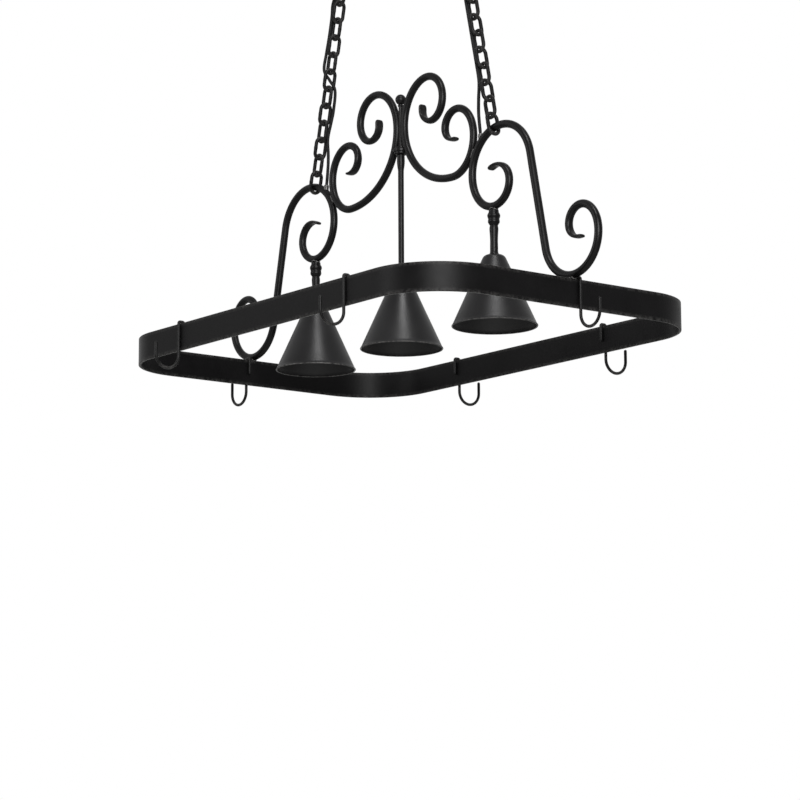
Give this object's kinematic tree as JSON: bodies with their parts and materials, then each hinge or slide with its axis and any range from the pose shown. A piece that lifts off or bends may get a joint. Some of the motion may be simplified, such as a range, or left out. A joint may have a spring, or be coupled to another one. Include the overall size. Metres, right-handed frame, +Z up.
{
  "type": "hanging pot rack with downlights",
  "caption": "Ceiling-hung pot rack: a flat-bar rim with sliding pan hooks under a forged scroll arch that carries cone downlights, hung on two wire chains.",
  "frame": {"origin": "on the ceiling plane, midway between the two canopies", "axes": "+Z up, +X along the scroll arch and the rim's long sides, +Y along the rim's short sides"},
  "size_m": [1.1124, 0.7598, 0.8402],
  "materials": {
    "wrought_black": "satin black powder coat on forged steel",
    "hook_black": "satin black powder coat on bent wire",
    "chain_black": "satin black paint on bent and welded wire",
    "shade_enamel": "satin black enamel on spun steel",
    "lampholder_phenolic": "moulded black phenolic",
    "screw_shell_brass": "bare rolled brass",
    "zinc_steel": "zinc-plated steel",
    "cord_jacket": "matt black round cord jacket",
    "bushing_plastic": "black plastic bushing"
  },
  "bodies": {
    "ceiling_fittings": {"left_canopy": "wrought_black", "left_ceiling_strap": "zinc_steel", "left_nipple": "zinc_steel", "left_lock_nut": "zinc_steel", "left_collar_loop": "wrought_black", "left_canopy_bushing": "bushing_plastic", "right_canopy": "wrought_black", "right_ceiling_strap": "zinc_steel", "right_nipple": "zinc_steel", "right_lock_nut": "zinc_steel", "right_collar_loop": "wrought_black", "right_canopy_bushing": "bushing_plastic"},
    "left_upper_link": {"left_top_link": "chain_black"},
    "right_upper_link": {"right_top_link": "chain_black"},
    "left_chain": {"left_chain": "chain_black", "left_cord": "cord_jacket"},
    "right_chain": {"right_chain": "chain_black", "right_cord": "cord_jacket"},
    "rack": {"rim_band": "wrought_black", "left_s_scroll": "wrought_black", "right_s_scroll": "wrought_black", "left_c_scroll": "wrought_black", "right_c_scroll": "wrought_black", "centre_hub": "wrought_black", "centre_finial": "wrought_black", "centre_stem": "wrought_black", "left_coupling": "wrought_black", "right_coupling": "wrought_black", "left_stem": "wrought_black", "right_stem": "wrought_black", "left_shade": "shade_enamel", "centre_shade": "shade_enamel", "right_shade": "shade_enamel", "left_shade_nut": "zinc_steel", "centre_shade_nut": "zinc_steel", "right_shade_nut": "zinc_steel", "left_lampholder": "lampholder_phenolic", "centre_lampholder": "lampholder_phenolic", "right_lampholder": "lampholder_phenolic", "left_screw_shell": "screw_shell_brass", "centre_screw_shell": "screw_shell_brass", "right_screw_shell": "screw_shell_brass", "left_cord_bushing": "bushing_plastic", "right_cord_bushing": "bushing_plastic"},
    "front_left_hook": {"front_left_hook": "hook_black"},
    "front_right_hook": {"front_right_hook": "hook_black"},
    "back_left_hook": {"back_left_hook": "hook_black"},
    "back_right_hook": {"back_right_hook": "hook_black"},
    "left_end_hook": {"left_end_hook": "hook_black"},
    "right_end_hook": {"right_end_hook": "hook_black"}
  },
  "joints": [
    {"name": "left_swing", "type": "hinge", "parent": "ceiling_fittings", "child": "left_upper_link", "pos_m": [-0.18351, 0, -0.05508], "axis": [1, 0, 0], "range_deg": [-8, 8], "deforming": ["left_cord"]},
    {"name": "right_swing", "type": "hinge", "parent": "ceiling_fittings", "child": "right_upper_link", "pos_m": [0.18351, 0, -0.05508], "axis": [1, 0, 0], "range_deg": [-8, 8], "deforming": ["right_cord"]},
    {"name": "left_chain_lean", "type": "hinge", "parent": "left_upper_link", "child": "left_chain", "pos_m": [-0.191, 0, -0.08753], "axis": [0, 1, 0], "range_deg": [-5, 5], "deforming": ["left_cord"]},
    {"name": "right_chain_lean", "type": "hinge", "parent": "right_upper_link", "child": "right_chain", "pos_m": [0.191, 0, -0.08753], "axis": [0, 1, 0], "range_deg": [-5, 5], "deforming": ["right_cord"]},
    {"name": "rack_rock", "type": "hinge", "parent": "left_chain", "child": "rack", "pos_m": [-0.27502, 0, -0.45146], "axis": [0, 1, 0], "range_deg": [-3.52, 3.52], "deforming": ["left_cord", "right_cord"]},
    {"name": "front_left_hook_slide", "type": "slide", "parent": "rack", "child": "front_left_hook", "axis": [1, 0, 0], "range_m": [-0.098, 0.237]},
    {"name": "front_right_hook_slide", "type": "slide", "parent": "rack", "child": "front_right_hook", "axis": [1, 0, 0], "range_m": [-0.256, 0.079]},
    {"name": "back_left_hook_slide", "type": "slide", "parent": "rack", "child": "back_left_hook", "axis": [1, 0, 0], "range_m": [-0.105, 0.23]},
    {"name": "back_right_hook_slide", "type": "slide", "parent": "rack", "child": "back_right_hook", "axis": [1, 0, 0], "range_m": [-0.185, 0.15]},
    {"name": "left_end_hook_slide", "type": "slide", "parent": "rack", "child": "left_end_hook", "axis": [0, 1, 0], "range_m": [-0.173, 0.0027]},
    {"name": "right_end_hook_slide", "type": "slide", "parent": "rack", "child": "right_end_hook", "axis": [0, 1, 0], "range_m": [-0.0017, 0.174]}
  ],
  "couplings": [
    {"joint": "right_swing", "follows": "left_swing", "ratio": 1},
    {"joint": "right_chain_lean", "follows": "left_chain_lean", "ratio": 1},
    {"joint": "rack_rock", "follows": "left_chain_lean", "ratio": -0.695}
  ]
}
